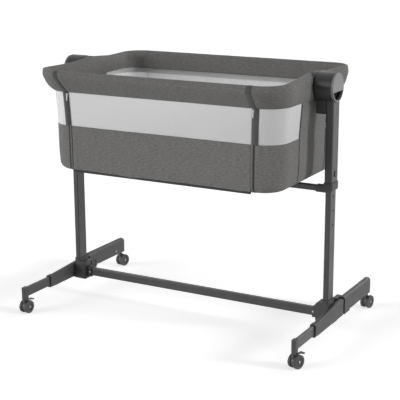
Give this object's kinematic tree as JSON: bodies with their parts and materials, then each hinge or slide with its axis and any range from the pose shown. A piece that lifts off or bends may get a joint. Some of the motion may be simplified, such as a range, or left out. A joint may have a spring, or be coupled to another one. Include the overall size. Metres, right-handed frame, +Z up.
{
  "type": "bedside sleeper crib",
  "caption": "Bedside sleeper crib: a soft-sided basket with mesh windows and a zip-down front, hung between telescopic posts on H-shaped feet with swivelling twin-wheel casters.",
  "frame": {"origin": "on the floor under the middle of the crib", "axes": "+X along the crib to its right end, -Y towards the drop-down front, +Z up"},
  "size_m": [0.9336, 0.581, 0.76],
  "materials": {
    "post_enamel": "dark grey powder coat, fine satin grain",
    "frame_plastic": "moulded, fine spark texture",
    "button_plastic": "moulded, smooth",
    "hub_plastic": "moulded, satin mid grey",
    "caster_plastic": "moulded, satin",
    "wheel_tread": "smooth tread, dished plastic hub",
    "steel": "zinc plated",
    "outer_fabric": "heathered grey plain weave",
    "rim_fabric": "heathered grey plain weave over padding",
    "window_mesh": "pale grey open knit",
    "mattress_cover": "pale quilted knit",
    "board": "raw hardboard"
  },
  "bodies": {
    "base": {"foot_beam_left": "frame_plastic", "foot_beam_right": "frame_plastic", "foot_collars": "frame_plastic", "rear_arm_left": "frame_plastic", "rear_arm_right": "frame_plastic", "post_bracket_left": "frame_plastic", "post_bracket_right": "frame_plastic", "lower_post_left": "post_enamel", "lower_post_right": "post_enamel", "lower_crossbar": "post_enamel", "frame_screws": "steel"},
    "upper_frame": {"upper_post_left": "post_enamel", "upper_post_right": "post_enamel", "post_collar_left": "frame_plastic", "post_collar_right": "frame_plastic", "upper_crossbar": "post_enamel", "hub_housing_left": "frame_plastic", "hub_housing_right": "frame_plastic", "hub_cap_left": "hub_plastic", "hub_cap_right": "hub_plastic"},
    "basket": {"pivot_pins": "steel", "hub_plates": "frame_plastic", "rim_tube": "steel", "base_frame": "steel", "base_board": "board", "mattress": "mattress_cover", "base_fabric": "outer_fabric", "rear_panel": "outer_fabric", "end_panels": "outer_fabric", "corner_panels": "outer_fabric", "rear_mesh": "window_mesh", "corner_meshes": "window_mesh", "rim_cover_rear": "rim_fabric", "rim_cover_ends": "rim_fabric"},
    "drop_panel": {"panel_rail": "steel", "panel_cover": "rim_fabric", "panel_mesh": "window_mesh", "panel_fabric": "outer_fabric"},
    "front_leg_left": {"front_extension_left": "post_enamel", "front_end_cap_left": "frame_plastic"},
    "foot_latch_left": {"foot_latch_left": "button_plastic"},
    "height_button_left": {"height_button_left": "button_plastic"},
    "lock_dial_left": {"lock_dial_left": "hub_plastic"},
    "zip_slider_left": {"zip_slider_left": "steel"},
    "front_leg_right": {"front_extension_right": "post_enamel", "front_end_cap_right": "frame_plastic"},
    "foot_latch_right": {"foot_latch_right": "button_plastic"},
    "height_button_right": {"height_button_right": "button_plastic"},
    "lock_dial_right": {"lock_dial_right": "hub_plastic"},
    "zip_slider_right": {"zip_slider_right": "steel"},
    "caster_front_left": {"caster_body_front_left": "caster_plastic"},
    "wheels_front_left": {"caster_wheels_front_left": "wheel_tread"},
    "brake_lever_left": {"brake_lever_left": "caster_plastic"},
    "caster_front_right": {"caster_body_front_right": "caster_plastic"},
    "wheels_front_right": {"caster_wheels_front_right": "wheel_tread"},
    "brake_lever_right": {"brake_lever_right": "caster_plastic"},
    "caster_rear_left": {"caster_body_rear_left": "caster_plastic"},
    "wheels_rear_left": {"caster_wheels_rear_left": "wheel_tread"},
    "caster_rear_right": {"caster_body_rear_right": "caster_plastic"},
    "wheels_rear_right": {"caster_wheels_rear_right": "wheel_tread"}
  },
  "joints": [
    {"name": "height_slide", "type": "slide", "parent": "base", "child": "upper_frame", "axis": [0, 0, 1], "range_m": [-0.084, 0.084]},
    {"name": "basket_swing", "type": "hinge", "parent": "upper_frame", "child": "basket", "pos_m": [0, 0, 0.719], "axis": [1, 0, 0], "range_deg": [-12, 12]},
    {"name": "panel_fold", "type": "hinge", "parent": "basket", "child": "drop_panel", "pos_m": [0, -0.222, 0.452], "axis": [1, 0, 0], "range_deg": [0, 170]},
    {"name": "foot_slide_left", "type": "slide", "parent": "base", "child": "front_leg_left", "axis": [0, 1, 0], "range_m": [0, 0.1]},
    {"name": "foot_latch_press_left", "type": "slide", "parent": "base", "child": "foot_latch_left", "axis": [-1, 0, 0], "range_m": [0, 0.003], "stiffness_N_per_m": 400},
    {"name": "height_button_press_left", "type": "slide", "parent": "upper_frame", "child": "height_button_left", "axis": [1, 0, 0], "range_m": [0, 0.0018], "stiffness_N_per_m": 400},
    {"name": "dial_turn_left", "type": "hinge", "parent": "upper_frame", "child": "lock_dial_left", "pos_m": [-0.44, 0, 0.719], "axis": [-1, 0, 0], "range_deg": [0, 45]},
    {"name": "zip_slide_left", "type": "slide", "parent": "basket", "child": "zip_slider_left", "axis": [0.025, 0.02, -0.9995], "range_m": [0, 0.18]},
    {"name": "foot_slide_right", "type": "slide", "parent": "base", "child": "front_leg_right", "axis": [0, 1, 0], "range_m": [0, 0.1]},
    {"name": "foot_latch_press_right", "type": "slide", "parent": "base", "child": "foot_latch_right", "axis": [1, 0, 0], "range_m": [0, 0.003], "stiffness_N_per_m": 400},
    {"name": "height_button_press_right", "type": "slide", "parent": "upper_frame", "child": "height_button_right", "axis": [-1, 0, 0], "range_m": [0, 0.0018], "stiffness_N_per_m": 400},
    {"name": "dial_turn_right", "type": "hinge", "parent": "upper_frame", "child": "lock_dial_right", "pos_m": [0.44, 0, 0.719], "axis": [1, 0, 0], "range_deg": [0, 45]},
    {"name": "zip_slide_right", "type": "slide", "parent": "basket", "child": "zip_slider_right", "axis": [-0.025, 0.02, -0.9995], "range_m": [0, 0.18]},
    {"name": "swivel_front_left", "type": "hinge", "parent": "front_leg_left", "child": "caster_front_left", "pos_m": [-0.4485, -0.276, 0.0445], "axis": [0, 0, 1], "continuous": true},
    {"name": "roll_front_left", "type": "hinge", "parent": "caster_front_left", "child": "wheels_front_left", "pos_m": [-0.44808, -0.26801, 0.02], "axis": [0.9986, -0.0523, 0], "continuous": true},
    {"name": "brake_press_left", "type": "hinge", "parent": "caster_front_left", "child": "brake_lever_left", "pos_m": [-0.44792, -0.26502, 0.0406], "axis": [-0.9986, 0.0523, 0], "range_deg": [0, 20]},
    {"name": "swivel_front_right", "type": "hinge", "parent": "front_leg_right", "child": "caster_front_right", "pos_m": [0.4485, -0.276, 0.0445], "axis": [0, 0, 1], "continuous": true},
    {"name": "roll_front_right", "type": "hinge", "parent": "caster_front_right", "child": "wheels_front_right", "pos_m": [0.4511, -0.26844, 0.02], "axis": [0.9455, -0.3256, 0], "continuous": true},
    {"name": "brake_press_right", "type": "hinge", "parent": "caster_front_right", "child": "brake_lever_right", "pos_m": [0.45208, -0.2656, 0.0406], "axis": [-0.9455, 0.3256, 0], "range_deg": [0, 20]},
    {"name": "swivel_rear_left", "type": "hinge", "parent": "base", "child": "caster_rear_left", "pos_m": [-0.4485, 0.26, 0.0445], "axis": [0, 0, 1], "continuous": true},
    {"name": "roll_rear_left", "type": "hinge", "parent": "caster_rear_left", "child": "wheels_rear_left", "pos_m": [-0.44684, 0.26782, 0.02], "axis": [0.9781, -0.2079, 0], "continuous": true},
    {"name": "swivel_rear_right", "type": "hinge", "parent": "base", "child": "caster_rear_right", "pos_m": [0.4485, 0.26, 0.0445], "axis": [0, 0, 1], "continuous": true},
    {"name": "roll_rear_right", "type": "hinge", "parent": "caster_rear_right", "child": "wheels_rear_right", "pos_m": [0.44975, 0.2679, 0.02], "axis": [0.9877, -0.1564, 0], "continuous": true}
  ]
}
